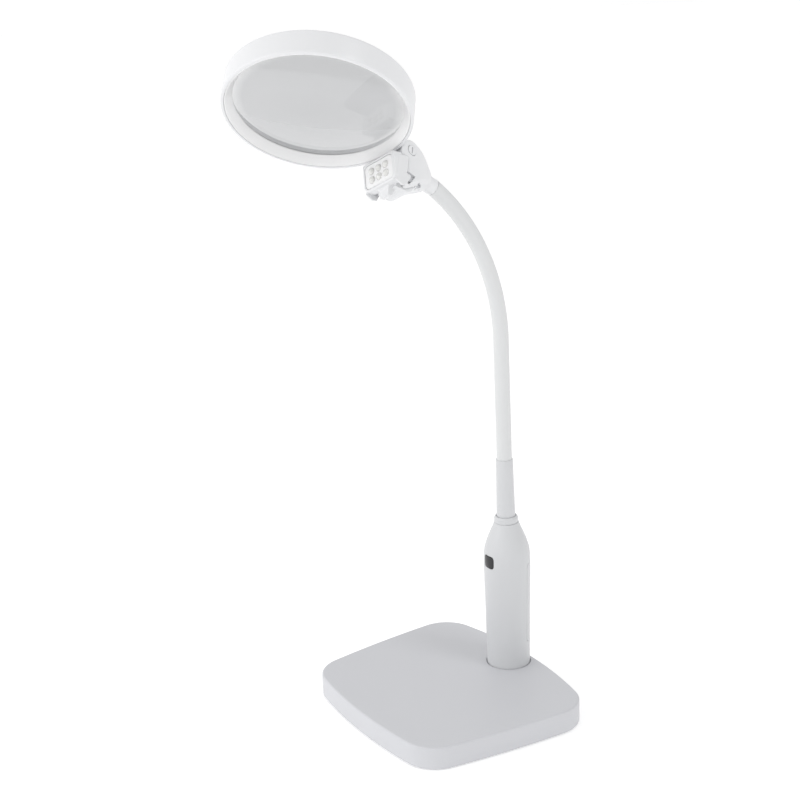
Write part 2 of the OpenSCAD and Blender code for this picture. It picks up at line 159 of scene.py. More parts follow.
def lathe(name, prof, mat, M=None, n=128, closed=True, sharp=40):
    """Revolves (radius, z) points round z. An open profile ends on the axis."""
    ang = np.linspace(0, 2 * math.pi, n, endpoint=False)
    ca, sa = np.cos(ang), np.sin(ang)
    verts, rings = [], []
    for r, z in prof:
        if r < 1e-6:
            rings.append([len(verts)] * n)
            verts.append((0, 0, z))
        else:
            rings.append(list(range(len(verts), len(verts) + n)))
            verts += [(r * c, r * s, z) for c, s in zip(ca, sa)]
    faces = []
    m = len(rings)
    for i in range(m if closed else m - 1):
        a, b = rings[i], rings[(i + 1) % m]
        for j in range(n):
            k = (j + 1) % n
            f = []
            for v in (a[j], a[k], b[k], b[j]):
                if v not in f:
                    f.append(v)
            if len(f) > 2:
                faces.append(f)
    return make(name, verts, faces, mat, M, sharp)


def corner_map(x, z, a, b, r):
    """Squares a grid's corners onto a rounded rectangle."""
    px, pz = abs(x) - (a - r), abs(z) - (b - r)
    if px > 0 and pz > 0:
        k = max(px, pz) / math.hypot(px, pz)
        px, pz = px * k, pz * k
        return math.copysign(a - r + px, x), math.copysign(b - r + pz, z)
    return x, z


class Sheet:
    """A flat grid with holes in (u, v), which a mapping turns into a shell with round edges."""

    def __init__(self, us, vs, holes=(), closed=False, corner=None, rings=3):
        self.uv, self.quads, self.loops = [], [], []
        nu, nv = len(us), len(vs)
        skip = set()
        for h in holes:
            for i in range(h["i"][0], h["i"][1]):
                for j in range(h["j"][0], h["j"][1]):
                    skip.add((i % nu if closed else i, j))
        idx = {}

        def at(i, j):
            key = (i % nu, j) if closed else (i, j)
            if key not in idx:
                idx[key] = len(self.uv)
                u, v = us[key[0]], vs[j]
                if corner:
                    u, v = corner_map(u - corner[0], v - corner[1], corner[2], corner[3], corner[4])
                    u, v = u + corner[0], v + corner[1]
                self.uv.append((u, v))
            return idx[key]

        for i in range(nu if closed else nu - 1):
            for j in range(nv - 1):
                if (i, j) not in skip:
                    self.quads.append((at(i, j), at(i + 1, j), at(i + 1, j + 1), at(i, j + 1)))
        for h in holes:
            (i0, i1), (j0, j1) = h["i"], h["j"]
            ring = [(i, j0) for i in range(i0, i1)] + [(i1, j) for j in range(j0, j1)]
            ring += [(i, j1) for i in range(i1, i0, -1)] + [(i0, j) for j in range(j1, j0, -1)]
            prev = [at(i, j) for i, j in ring]
            start = [self.uv[k] for k in prev]
            goal = [h["to"](*p) for p in start]
            for q in range(1, rings + 1):
                t = (q / rings) ** 0.8
                new = []
                for s, g in zip(start, goal):
                    new.append(len(self.uv))
                    self.uv.append((s[0] + (g[0] - s[0]) * t, s[1] + (g[1] - s[1]) * t))
                m = len(new)
                for k in range(m):
                    self.quads.append((prev[k], prev[(k + 1) % m], new[(k + 1) % m], new[k]))
                prev = new
            self.loops.append((prev, -1, h.get("fillet", 0.3)))
        if closed:
            self.loops.append(([at(i, 0) for i in range(nu)], 0, 0.0))
            self.loops.append(([at(i, nv - 1) for i in range(nu)], 0, 0.0))
        else:
            b = [(i, 0) for i in range(nu - 1)] + [(nu - 1, j) for j in range(nv - 1)]
            b += [(i, nv - 1) for i in range(nu - 1, 0, -1)] + [(0, j) for j in range(nv - 1, 0, -1)]
            self.loops.append(([at(i, j) for i, j in b], 1, self.edge if hasattr(self, "edge") else 0.3))

    def shell(self, name, mat, mapper, thick, M=None, edge=0.3, steps=4, sharp=40):
        """mapper(u, v, depth) gives a point. Edges are round by edge mm at the face."""
        uv = np.array(self.uv)
        n = len(uv)
        verts = [mapper(u, v, 0.0) for u, v in uv] + [mapper(u, v, thick) for u, v in uv]
        faces = [q for q in self.quads] + [tuple(n + k for k in reversed(q)) for q in self.quads]
        for loop, kind, _ in self.loops:
            m = len(loop)
            if kind == 0:
                for k in range(m):
                    a, b = loop[k], loop[(k + 1) % m]
                    faces.append((a, b, n + b, n + a))
                continue
            pts = uv[loop]
            tang = np.roll(pts, -1, 0) - np.roll(pts, 1, 0)
            tang /= np.linalg.norm(tang, axis=1)[:, None] + 1e-12
            area = 0.5 * np.sum(pts[:, 0] * np.roll(pts[:, 1], -1) - np.roll(pts[:, 0], -1) * pts[:, 1])
            out = np.stack([tang[:, 1], -tang[:, 0]], 1) * (1 if area > 0 else -1)
            if kind < 0:
                out = -out
            prev = loop
            for s in range(1, steps + 1):
                a = s / steps * math.pi / 2
                off, dep = edge * math.sin(a), edge * (1 - math.cos(a))
                new = list(range(len(verts), len(verts) + m))
                verts += [mapper(p[0] + o[0] * off, p[1] + o[1] * off, dep) for p, o in zip(pts, out)]
                for k in range(m):
                    faces.append((prev[k], prev[(k + 1) % m], new[(k + 1) % m], new[k]))
                prev = new
            new = list(range(len(verts), len(verts) + m))
            verts += [mapper(p[0] + o[0] * edge, p[1] + o[1] * edge, thick) for p, o in zip(pts, out)]
            for k in range(m):
                faces.append((prev[k], prev[(k + 1) % m], new[(k + 1) % m], new[k]))
            for k in range(m):
                faces.append((new[k], new[(k + 1) % m], n + loop[(k + 1) % m], n + loop[k]))
        return make(name, verts, faces, mat, M, sharp)


def rect_hole(cu, cv, a, b, r):
    """Sends a point on a surrounding rectangle to the rounded rectangle's outline."""

    def to(u, v):
        x, z = u - cu, v - cv
        # direction from the rectangle's middle line, kept proportional on each side
        m = max(abs(x) / A, abs(z) / B)
        x, z = x / m, z / m
        x, z = x / A * a, z / B * b
        return tuple(np.array(corner_map(x, z, a, b, r)) + (cu, cv))

    A, B = 1.0, 1.0

    def bind(au, bv):
        nonlocal A, B
        A, B = au, bv
        return to

    return bind


# ------------------------------------------------------------------ implicit solids for moulded shapes
def smin(a, b, k):
    h = np.maximum(k - np.abs(a - b), 0) / k
    return np.minimum(a, b) - h * h * k * 0.25


def smax(a, b, k):
    return -smin(-a, -b, k)


def sd_box(P, lo, hi, r=0.0):
    lo, hi = np.array(lo, float), np.array(hi, float)
    q = np.abs(P - (lo + hi) / 2) - (hi - lo) / 2 + r
    return np.linalg.norm(np.maximum(q, 0), axis=-1) + np.minimum(q.max(-1), 0) - r


def sd_rod(P, y, z, r, x0, x1, k=0.0):
    d = np.hypot(P[..., 1] - y, P[..., 2] - z) - r
    e = np.abs(P[..., 0] - (x0 + x1) / 2) - (x1 - x0) / 2
    return smax(d, e, k) if k else np.maximum(d, e)


def sd_poly(y, z, pts):
    pts = np.asarray(pts, float)
    d = np.full(y.shape, 1e18)
    s = np.ones(y.shape)
    n = len(pts)
    for i in range(n):
        a, b = pts[i], pts[i - 1]
        ex, ez = b[0] - a[0], b[1] - a[1]
        wx, wz = y - a[0], z - a[1]
        t = np.clip((wx * ex + wz * ez) / (ex * ex + ez * ez), 0, 1)
        bx, bz = wx - ex * t, wz - ez * t
        d = np.minimum(d, bx * bx + bz * bz)
        c1, c2, c3 = z >= a[1], z < b[1], ex * wz > ez * wx
        s = np.where((c1 & c2 & c3) | (~c1 & ~c2 & ~c3), -s, s)
    return s * np.sqrt(d)


def nets(f, lo, hi, h):
    """Surface nets on a grid, then each vertex is drawn onto the true surface."""
    ax = [np.arange(a, b + h, h) for a, b in zip(lo, hi)]
    G = np.stack(np.meshgrid(*ax, indexing="ij"), -1)
    F = np.empty(G.shape[:3])
    for i in range(G.shape[0]):
        F[i] = f(G[i])
    inside = F < 0
    nx, ny, nz = F.shape
    cell = np.zeros((nx - 1, ny - 1, nz - 1), int)
    for dx in (0, 1):
        for dy in (0, 1):
            for dz in (0, 1):
                cell += inside[dx : nx - 1 + dx, dy : ny - 1 + dy, dz : nz - 1 + dz]
    act = np.argwhere((cell > 0) & (cell < 8))
    index = -np.ones(cell.shape, int)
    index[tuple(act.T)] = np.arange(len(act))
    acc = np.zeros((len(act), 3))
    cnt = np.zeros(len(act))
    corners = [(a, b, c) for a in (0, 1) for b in (0, 1) for c in (0, 1)]
    for p in corners:
        for axis in range(3):
            if p[axis]:
                continue
            q = list(p)
            q[axis] = 1
            ip, iq = act + p, act + q
            fp, fq = F[tuple(ip.T)], F[tuple(iq.T)]
            m = (fp < 0) != (fq < 0)
            t = fp[m] / (fp[m] - fq[m])
            acc[m] += ip[m] + (iq[m] - ip[m]) * t[:, None]
            cnt[m] += 1
    V = acc / cnt[:, None] * h + np.array(lo)
    quads = []
    for axis in range(3):
        sl0, sl1 = [slice(None)] * 3, [slice(None)] * 3
        sl0[axis], sl1[axis] = slice(0, -1), slice(1, None)
        ch = inside[tuple(sl0)] != inside[tuple(sl1)]
        e = np.argwhere(ch)
        o1, o2 = (axis + 1) % 3, (axis + 2) % 3
        ok = (e[:, o1] > 0) & (e[:, o2] > 0) & (e[:, o1] < F.shape[o1] - 1) & (e[:, o2] < F.shape[o2] - 1)
        e = e[ok]
        ring = []
        for d1, d2 in ((-1, -1), (0, -1), (0, 0), (-1, 0)):
            c = e.copy()
            c[:, o1] += d1
            c[:, o2] += d2
            ring.append(index[tuple(c.T)])
        q = np.stack(ring, 1)
        flip = ~inside[tuple(e.T)]
        q[flip] = q[flip][:, ::-1]
        quads.append(q)
    quads = np.concatenate(quads)

    def grad(P, e=0.02):
        g = np.stack([f(P + np.eye(3)[k] * e) - f(P - np.eye(3)[k] * e) for k in range(3)], -1) / (2 * e)
        return g / (np.linalg.norm(g, axis=1)[:, None] + 1e-9)

    for _ in range(3):
        d = f(V)
        V = V - np.clip(d, -0.5 * h, 0.5 * h)[:, None] * grad(V) * 0.9
    return V, quads, grad(V)


def implicit(name, f, lo, hi, h, mat, M):
    V, Q, N = nets(f, lo, hi, h)
    return make(name, V, Q, mat, M, None, N)


def spline(points, per=6, closed=True):
    """Catmull-Rom through the points."""
    P = [np.array(p, float) for p in points]
    n = len(P)
    out = []
    for i in range(n if closed else n - 1):
        a, b, c, d = P[(i - 1) % n], P[i], P[(i + 1) % n], P[(i + 2) % n]
        if not closed:
            a = P[max(i - 1, 0)]
            d = P[min(i + 2, n - 1)]
        for t in np.linspace(0, 1, per, endpoint=False):
            out.append(0.5 * (2 * b + (c - a) * t + (2 * a - 5 * b + 4 * c - d) * t * t + (3 * b - a - 3 * c + d) * t**3))
    if not closed:
        out.append(P[-1])
    return np.array(out)


# ------------------------------------------------------------------ materials
class Mat:
    def __init__(self, name):
        self.m = bpy.data.materials.new(name)
        self.m.use_nodes = True
        self.t = self.m.node_tree
        self.b = self.t.nodes["Principled BSDF"]
        self.co = self.t.nodes.new("ShaderNodeTexCoord")

    def noise(self, scale, detail=3.0, rough=0.5, stretch=None):
        n = self.t.nodes.new("ShaderNodeTexNoise")
        n.inputs["Scale"].default_value = scale
        n.inputs["Detail"].default_value = detail
        n.inputs["Roughness"].default_value = rough
        if stretch:
            mp = self.t.nodes.new("ShaderNodeMapping")
            mp.inputs["Scale"].default_value = stretch
            self.t.links.new(self.co.outputs["Object"], mp.inputs["Vector"])
            self.t.links.new(mp.outputs["Vector"], n.inputs["Vector"])
        else:
            self.t.links.new(self.co.outputs["Object"], n.inputs["Vector"])
        return n.outputs["Fac"]

    def ramp(self, fac, stops):
        r = self.t.nodes.new("ShaderNodeValToRGB")
        e = r.color_ramp.elements
        while len(e) < len(stops):
            e.new(0.5)
        for el, (p, c) in zip(e, stops):
            el.position = p
            el.color = (*c, 1) if len(c) == 3 else c
        self.t.links.new(fac, r.inputs["Fac"])
        return r.outputs["Color"]

    def span(self, fac, lo, hi):
        r = self.t.nodes.new("ShaderNodeMapRange")
        r.inputs["To Min"].default_value = lo
        r.inputs["To Max"].default_value = hi
        self.t.links.new(fac, r.inputs["Value"])
        return r.outputs["Result"]

    def bump(self, height, strength, distance=0.0002, chain=None):
        b = self.t.nodes.new("ShaderNodeBump")
        b.inputs["Strength"].default_value = strength
        b.inputs["Distance"].default_value = distance
        self.t.links.new(height, b.inputs["Height"])
        if chain is not None:
            self.t.links.new(chain, b.inputs["Normal"])
        return b.outputs["Normal"]

    def link(self, out, socket):
        self.t.links.new(out, self.b.inputs[socket])

    def set(self, **kw):
        for k, v in kw.items():
            self.b.inputs[k.replace("_", " ")].default_value = v


def shade(c, k):
    return tuple(max(0.0, min(1.0, x * k)) for x in c)


def moulded(name, colour, rough, grain=0.05, wave=0.02, coat=0.0, vary=0.015, grain_scale=2600, sss=0.0):
    """Injection moulded plastic: faint spark-eroded grain, slow mould waviness, slightly uneven gloss."""
    m = Mat(name)
    slow = m.noise(14, 4, 0.55)
    m.link(m.ramp(slow, [(0.3, shade(colour, 1 - vary)), (0.7, shade(colour, 1 + vary * 0.6))]), "Base Color")
    m.link(m.span(m.noise(60, 5, 0.6), rough - 0.05, rough + 0.05), "Roughness")
    fine = m.noise(grain_scale, 2, 0.5)
    n = m.bump(fine, grain, 0.00006)
    n = m.bump(m.noise(30, 2, 0.4), wave, 0.0006, n)
    m.link(n, "Normal")
    m.set(IOR=1.5, Specular_IOR_Level=0.5)
    if coat:
        m.b.inputs["Coat Weight"].default_value = coat
        m.b.inputs["Coat Roughness"].default_value = 0.12
    if sss:
        m.b.inputs["Subsurface Weight"].default_value = sss
        m.b.inputs["Subsurface Radius"].default_value = (0.004, 0.004, 0.0038)
        m.b.inputs["Subsurface Scale"].default_value = 0.5
    return m.m


def metal(name, colour, rough, scratches=0.1):
    m = Mat(name)
    g = m.noise(700, 4, 0.6, (1, 1, 12))
    m.link(m.ramp(g, [(0.25, shade(colour, 0.9)), (0.75, shade(colour, 1.08))]), "Base Color")
    m.link(m.span(m.noise(180, 5, 0.65), rough - 0.08, rough + 0.1), "Roughness")
    m.link(m.bump(g, scratches, 0.00004), "Normal")
    m.set(Metallic=1.0)
    return m.m


MAT = {}
MAT["base"] = moulded("base_plastic", (0.585, 0.59, 0.615), 0.46, grain=0.08, wave=0.015, vary=0.01)
MAT["post"] = moulded("post_plastic", (0.60, 0.607, 0.62), 0.42, grain=0.06, wave=0.02, vary=0.01)
MAT["neck"] = moulded("neck_skin", (0.66, 0.668, 0.672), 0.5, grain=0.1, wave=0.05, vary=0.012, grain_scale=1500)
MAT["head"] = moulded("head_plastic", (0.74, 0.745, 0.757), 0.36, grain=0.04, wave=0.02, coat=0.1, vary=0.008)
MAT["face"] = moulded("light_face", (0.86, 0.86, 0.865), 0.3, grain=0.02, wave=0.01, coat=0.2, vary=0.006)
MAT["switch"] = moulded("switch_black", (0.012, 0.012, 0.014), 0.34, grain=0.15, wave=0.05, coat=0.15, vary=0.2)
MAT["inner"] = moulded("inner_black", (0.02, 0.02, 0.022), 0.55, grain=0.2, wave=0.05, vary=0.2)
MAT["steel"] = metal("plated_steel", (0.62, 0.63, 0.65), 0.32)
MAT["iron"] = metal("weight_steel", (0.3, 0.3, 0.31), 0.5, 0.3)


def foam():
    m = Mat("foam_pad")
    v = m.t.nodes.new("ShaderNodeTexVoronoi")
    v.inputs["Scale"].default_value = 1400
    m.t.links.new(m.co.outputs["Object"], v.inputs["Vector"])
    m.link(m.ramp(m.noise(220, 4, 0.6), [(0.3, (0.018, 0.018, 0.019)), (0.7, (0.032, 0.032, 0.034))]), "Base Color")
    m.link(m.span(m.noise(90, 3), 0.85, 0.97), "Roughness")
    m.link(m.bump(v.outputs["Distance"], 0.5, 0.0002), "Normal")
    return m.m


def board():
    m = Mat("circuit_board")
    m.link(m.ramp(m.noise(160, 3), [(0.45, (0.012, 0.11, 0.05)), (0.55, (0.02, 0.16, 0.07))]), "Base Color")
    m.link(m.span(m.noise(300, 3), 0.3, 0.45), "Roughness")
    m.link(m.bump(m.noise(800, 2), 0.1, 0.0001), "Normal")
    return m.m


def wrap():
    m = Mat("cell_wrap")
    m.link(m.ramp(m.noise(40, 3), [(0.35, (0.05, 0.09, 0.085)), (0.65, (0.07, 0.12, 0.11))]), "Base Color")
    m.link(m.span(m.noise(200, 3), 0.25, 0.4), "Roughness")
    m.link(m.bump(m.noise(300, 2), 0.05, 0.0001), "Normal")
    m.set(Metallic=0.4)
    return m.m


def glass(name, colour, rough, ior, smudge=0.02):
    m = Mat(name)
    m.link(m.ramp(m.noise(9, 3), [(0.3, shade(colour, 0.99)), (0.7, colour)]), "Base Color")
    m.link(m.span(m.noise(35, 5, 0.6), rough, rough + smudge), "Roughness")
    m.b.inputs["Transmission Weight"].default_value = 1.0
    m.b.inputs["IOR"].default_value = ior
    return m.m


MAT["foam"] = foam()
MAT["board"] = board()
MAT["wrap"] = wrap()


def lens_glass():
    m = Mat("lens_glass")
    c = M_RING[:3, 3] * MM
    a = M_RING[:3, 2]
    sub = m.t.nodes.new("ShaderNodeVectorMath")
    sub.operation = "SUBTRACT"
    sub.inputs[1].default_value = tuple(float(k) for k in c)
    m.t.links.new(m.co.outputs["Object"], sub.inputs[0])
    cro = m.t.nodes.new("ShaderNodeVectorMath")
    cro.operation = "CROSS_PRODUCT"
    cro.inputs[1].default_value = tuple(float(k) for k in a)
    m.t.links.new(sub.outputs["Vector"], cro.inputs[0])
    ln = m.t.nodes.new("ShaderNodeVectorMath")
    ln.operation = "LENGTH"
    m.t.links.new(cro.outputs["Vector"], ln.inputs[0])
    rad = m.t.nodes.new("ShaderNodeMapRange")
    rad.inputs["From Max"].default_value = 0.0575
    m.t.links.new(ln.outputs["Value"], rad.inputs["Value"])
    soft = m.t.nodes.new("ShaderNodeMath")
    soft.operation = "MULTIPLY_ADD"
    soft.inputs[1].default_value = 0.04
    m.t.links.new(m.noise(14, 3), soft.inputs[0])
    m.t.links.new(rad.outputs["Result"], soft.inputs[2])
    # painted light: the base colour brightens over the lens's outer rim band, against the shade that falls there under
    # the retainer's lip
    m.link(m.ramp(soft.outputs["Value"], [(0.0, (0.57, 0.575, 0.585)), (0.86, (0.60, 0.605, 0.615)), (0.95, (0.72, 0.725, 0.73)), (0.99, (0.92, 0.92, 0.92))]), "Base Color")
    m.link(m.span(m.noise(35, 5, 0.6), 0.0, 0.03), "Roughness")
    m.b.inputs["Transmission Weight"].default_value = 1.0
    m.b.inputs["IOR"].default_value = 1.49
    return m.m


MAT["lens"] = lens_glass()
MAT["led"] = glass("led_clear", (0.97, 0.97, 0.95), 0.02, 1.5, 0.03)
for _n in MAT["led"].node_tree.nodes:
    if _n.type == "BSDF_PRINCIPLED":
        _n.inputs["Transmission Weight"].default_value = 0.3
MAT["cup"] = moulded("led_reflector", (0.93, 0.93, 0.92), 0.25, grain=0.02, wave=0.02, coat=0.3, vary=0.02)


def phosphor():
    m = Mat("led_phosphor")
    m.link(m.ramp(m.noise(900, 3), [(0.3, (0.86, 0.82, 0.66)), (0.7, (0.9, 0.87, 0.74))]), "Base Color")
    m.link(m.span(m.noise(500, 3), 0.5, 0.7), "Roughness")
    return m.m


MAT["phosphor"] = phosphor()


# ------------------------------------------------------------------ base
WF, WB, BD, RC, BH = 80.0, 88.9, 70.1, 26.3, 17.6
BULGE = [1.25, 7.55, 1.25, 4.0]
BP = np.array([[WF - RC, -BD + RC], [WB - RC, BD - RC], [-(WB - RC), BD - RC], [-(WF - RC), -BD + RC]])


def base_params(ns=44, nc=26):
    out = []
    for i in range(4):
        a, b = BP[i], BP[(i + 1) % 4]
        L = np.linalg.norm(b - a)
        th = math.atan2(b[1] - a[1], b[0] - a[0])
        cn = th - math.pi / 2

        def nrm(s, i=i, L=L, th=th):
            return th - math.pi / 2 - math.atan(4 * BULGE[i] * (1 - 2 * s) / L)

        for s in np.linspace(0, 1, ns):
            p = a * (1 - s) + b * s + 4 * BULGE[i] * s * (1 - s) * np.array([math.cos(cn), math.sin(cn)])
            out.append((p, nrm(s)))
        c, d = BP[(i + 1) % 4], BP[(i + 2) % 4]
        th2 = math.atan2(d[1] - c[1], d[0] - c[0])
        a1 = th2 - math.pi / 2 - math.atan(4 * BULGE[(i + 1) % 4] / np.linalg.norm(d - c))
        a0 = nrm(1.0)
        da = (a1 - a0 + math.pi) % (2 * math.pi) - math.pi
        for k in range(1, nc):
            out.append((c, a0 + da * k / nc))
    P = np.array([o[0] for o in out])
    A = np.array([o[1] for o in out])
    return P, np.stack([np.cos(A), np.sin(A)], 1)


def base_cover():
    P, N = base_params()
    n = len(P)
    verts, rings = [], []

    def ring(xy, z):
        rings.append(list(range(len(verts), len(verts) + n)))
        verts.extend([(x, y, z) for x, y in xy])

    def outl(off, z):
        ring(P + (RC + off) * N, z)

    def circ(r, z, cy=POST_Y):
        d = P + RC * N - np.array([0, cy])
        a = np.arctan2(d[:, 1], d[:, 0])
        ring(np.stack([r * np.cos(a), cy + r * np.sin(a)], 1), z)

    circ(16.75, 8.6)
    circ(16.75, 16.9)
    for k in range(0, 5):
        a = k / 4 * math.pi / 2
        circ(16.75 + 0.6 * (1 - math.cos(a)), BH - 0.6 + 0.6 * math.sin(a))
    c0 = np.array(verts[-n:])[:, :2]
    o0 = P + (RC - 1.4) * N
    for t in (0.03, 0.1, 0.25, 0.45, 0.7, 0.9, 0.985):
        ring(c0 * (1 - t) + o0 * t, BH)
    for k in range(0, 8):
        a = k / 7 * math.pi / 2
        outl(-1.4 + 1.4 * math.sin(a), BH - 1.4 + 1.4 * math.cos(a))
    outl(0, 12)
    outl(0, 7)
    outl(0, 2)
    for k in range(0, 6):
        a = k / 5 * math.pi / 2
        outl(-0.9 + 0.9 * math.cos(a), 1.7 - 0.9 * math.sin(a))
    outl(-2.2, 0.8)
    outl(-2.5, 1.1)
    outl(-2.5, 15.1)
    circ(19, 15.1, POST_Y - 1.4)
    circ(19, 6, POST_Y - 1.4)
    faces = []
    for a, b in zip(rings[:-1], rings[1:]):
        for j in range(n):
            k = (j + 1) % n
            faces.append((a[j], a[k], b[k], b[j]))
    for r, z, cy in ((rings[0], 8.6, POST_Y), (rings[-1], 6.0, POST_Y - 1.4)):
        c = len(verts)
        verts.append((0, cy, z))
        for j in range(n):
            faces.append((r[j], r[(j + 1) % n], c))
    ob = make("base_shell_smooth", verts, faces, MAT["base"], None, 30)
    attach(ob, "stand")
    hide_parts("base_cover")


# ------------------------------------------------------------------ post, door and button
PROF = [(8.8, 16.3), (17.6, 16.3), (40, 16.5), (60, 16.75), (80, 17.15), (95, 17.4), (104, 17.3), (109, 16.9),
        (112, 16.3), (115, 15.4), (118, 14.4), (121, 13.2), (124, 11.9), (127, 10.6), (129.5, 9.6), (130.8, 9.1)]
PZ = np.array([p[0] for p in PROF])
PR = np.array([p[1] for p in PROF])


def _slopes():
    h = np.diff(PZ)
    d = np.diff(PR) / h
    m = np.zeros(len(PZ))
    for i in range(1, len(PZ) - 1):
        if d[i - 1] * d[i] > 0:
            w1, w2 = 2 * h[i] + h[i - 1], h[i] + 2 * h[i - 1]
            m[i] = (w1 + w2) / (w1 / d[i - 1] + w2 / d[i])
    m[0], m[-1] = d[0], d[-1]
    return m


PM = _slopes()


def post_r(z):
    z = min(max(z, PZ[0]), PZ[-1])
    i = min(int(np.searchsorted(PZ, z, "right") - 1), len(PZ) - 2)
    h = PZ[i + 1] - PZ[i]
    t = (z - PZ[i]) / h
    return ((2 * t**3 - 3 * t * t + 1) * PR[i] + (t**3 - 2 * t * t + t) * h * PM[i]
            + (-2 * t**3 + 3 * t * t) * PR[i + 1] + (t**3 - t * t) * h * PM[i + 1])


RN = 17.0
DEG = D2R * RN


def post_map(u, v, d):
    a = u / RN
    r = post_r(v) - d
    return (r * math.cos(a), POST_Y + r * math.sin(a), v)


DOOR = (90 * DEG, 68.0, 69 * DEG + 0.1, 32.1, 2.6)
BUT = (270 * DEG, 102.3, 5.9, 5.25, 2.9)


def post_parts():
    us = [3 * k * DEG for k in range(120)]
    vs = [8.8, 12, 15, 17.6, 20, 22.5, 25, 27.5] + [30 + 3 * k for k in range(27)]
    vs += [109.4, 110.8, 112.2, 113.6, 115, 116.4, 117.8, 119.2, 120.6, 122, 123.4, 124.8, 126.2, 127.6, 129, 130, 130.8]
    j = {round(v, 3): i for i, v in enumerate(vs)}
    du, dv, da, db, dr = DOOR
    bu, bv, ba, bb, br = BUT
    hd = {"i": (5, 55), "j": (j[30], j[105]), "to": rect_hole(du, dv, da, db, dr)(75 * DEG, 37.5)}
    # the door rectangle is centred on z 67.5, its hole on 68
    f = hd["to"]
    hd["to"] = lambda u, v: f(u, v + 0.5)
    hb = {"i": (82, 98), "j": (j[93], j[112.2]), "to": None}
    g = rect_hole(bu, bv, ba, bb, br)(24 * DEG, 9.6)
    hb["to"] = lambda u, v: g(u, v - 0.3)
    sh = Sheet(us, vs, [hd, hb], closed=True, rings=4)
    ob = sh.shell("post_shell_smooth", MAT["post"], post_map, 1.8, edge=0.45)
    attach(ob, "stand")
    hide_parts("post_housing")

    a, b = 69 * DEG - 0.45, 32.0 - 0.4
    e = 0.45
    us = np.unique(np.concatenate([np.linspace(-a + e, -a + 2.6, 5), np.linspace(-a + 2.6, a - 2.6, 40), np.linspace(a - 2.6, a - e, 5)]))
    vs = np.unique(np.concatenate([np.linspace(-b + e, -b + 2.6, 5), np.linspace(-b + 2.6, b - 2.6, 40), np.linspace(b - 2.6, b - e, 5)]))
    sh = Sheet([du + x for x in us], [dv + z for z in vs], corner=(du, dv, a - e, b - e, 2.3))

    def door_map(u, v, d):
        x, z = (u - du) / 7.5, (v - 92.0) / 3.6
        q = max(0.0, 1 - x * x - z * z)
        dip = 0.75 * q * q * (3 - 2 * q) if d < 0.01 else 0
        return post_map(u, v, d + dip)

    ob = sh.shell("battery_door_smooth", MAT["post"], door_map, 1.7, edge=e)
    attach(ob, "door")
    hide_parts("battery_door")

    a, b, e = 5.5, 4.9, 0.6
    us = np.linspace(-a + e, a - e, 19)
    vs = np.linspace(-b + e, b - e, 17)
    sh = Sheet(us, [102.3 + z for z in vs], corner=(0, 102.3, a - e, b - e, 2.4 - e))

    def but_map(u, v, d):
        crown = 0.25 * ((u / a) ** 2 + ((v - 102.3) / b) ** 2) if d < 1.0 else 0
        y = -math.sqrt(17.72**2 - u * u) + d + crown
        if d > 3:
            y = -13.95
        return (u, POST_Y + y, v)

    ob = sh.shell("push_button_smooth", MAT["switch"], but_map, 3.4, edge=e, steps=5)
    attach(ob, "button")
    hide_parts("switch_button")


# ------------------------------------------------------------------ neck
def neck_parts():
    p = rounded([(7.15, 1.0), (8.9, 1.0), (8.9, 4.4), (7.95, 5.8), (7.15, 5.8)], [0, 0.2, 0.35, 0.35, 0.15], 5)
    ob = lathe("neck_collar_smooth", p, MAT["post"], M_NECK0, 96)
    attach(ob, "stand")
    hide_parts("neck_collar")
    p = rounded([(5.68, -8.8), (8.3, -8.8), (8.3, -7), (6.95, -7), (6.95, 5.9), (6.2, 50), (5.68, 50)],
                [0, 0.3, 0.3, 0.3, 0, 0.4, 0.1], 5)
    q = []
    for a, b in zip(p, p[1:] + p[:1]):
        q.append(a)
        if abs(b[1] - a[1]) > 10:
            q += [(a[0] + (b[0] - a[0]) * t, a[1] + (b[1] - a[1]) * t) for t in np.linspace(0, 1, 9)[1:-1]]
    ob = lathe("neck_sleeve_smooth", q, MAT["post"], M_NECK0, 96)
    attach(ob, "stand")
    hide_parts("neck_sleeve")

    nrm = R_SW @ np.array([0, 1, 0])
    n = 56
    ang = np.linspace(0, 2 * math.pi, n, endpoint=False)
    joints = [LINK_FIRST + LINK_PITCH * i for i in range(7)]
    for i, sj in enumerate(joints):
        s0 = 40.0 if i == 0 else sj - 16
        s1 = NECK_LEN if i == 6 else sj + 16
        b0, b1 = (51.0 if i == 0 else s0), (min(sj + 16, NECK_LEN - 2.3))
        k = max(2, int(round((s1 - s0) / 0.8)))
        ss = np.linspace(s0, s1, k + 1)
        verts, faces = [], []
        for s in ss:
            c, f = npos(s), phi(s) * D2R
            ex, ey = np.array([1.0, 0, 0]), np.array([0, math.cos(f), math.sin(f)])
            tg = np.array([0, -math.sin(f), math.cos(f)])
            for a in ang:
                v = c + NECK_R * (math.cos(a) * ex + math.sin(a) * ey)
                if i == 6:
                    over = (v - NE) @ nrm + 0.02
                    if over > 0:
                        v = v - tg * over / (tg @ nrm)
                verts.append(v)
        for r in range(k):
            for j in range(n):
                q = (j + 1) % n
                faces.append((r * n + j, r * n + q, (r + 1) * n + q, (r + 1) * n + j))
        for r, s in ((0, s0), (k, s1)):
            if (r == 0 and i == 0) or (r == k and i == 6):
                cidx = len(verts)
                verts.append(np.mean(verts[r * n : r * n + n], 0))
                faces += [(r * n + j, r * n + (j + 1) % n, cidx) for j in range(n)]
        verts = np.array(verts)
        me_faces = [tuple(f) for f in faces]
        ob = make(f"gooseneck_skin_{i + 1}", verts, me_faces, MAT["neck"], None, 50)
        a, b = ("stand" if i == 0 else f"link_{i}"), f"link_{i + 1}"
        tuple(npos(b0) * MM)
        tuple(npos(b1) * MM)
        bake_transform(ob)
        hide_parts(*(["neck_root", "neck_link_1"] if i == 0 else [f"neck_link_{i + 1}"]))


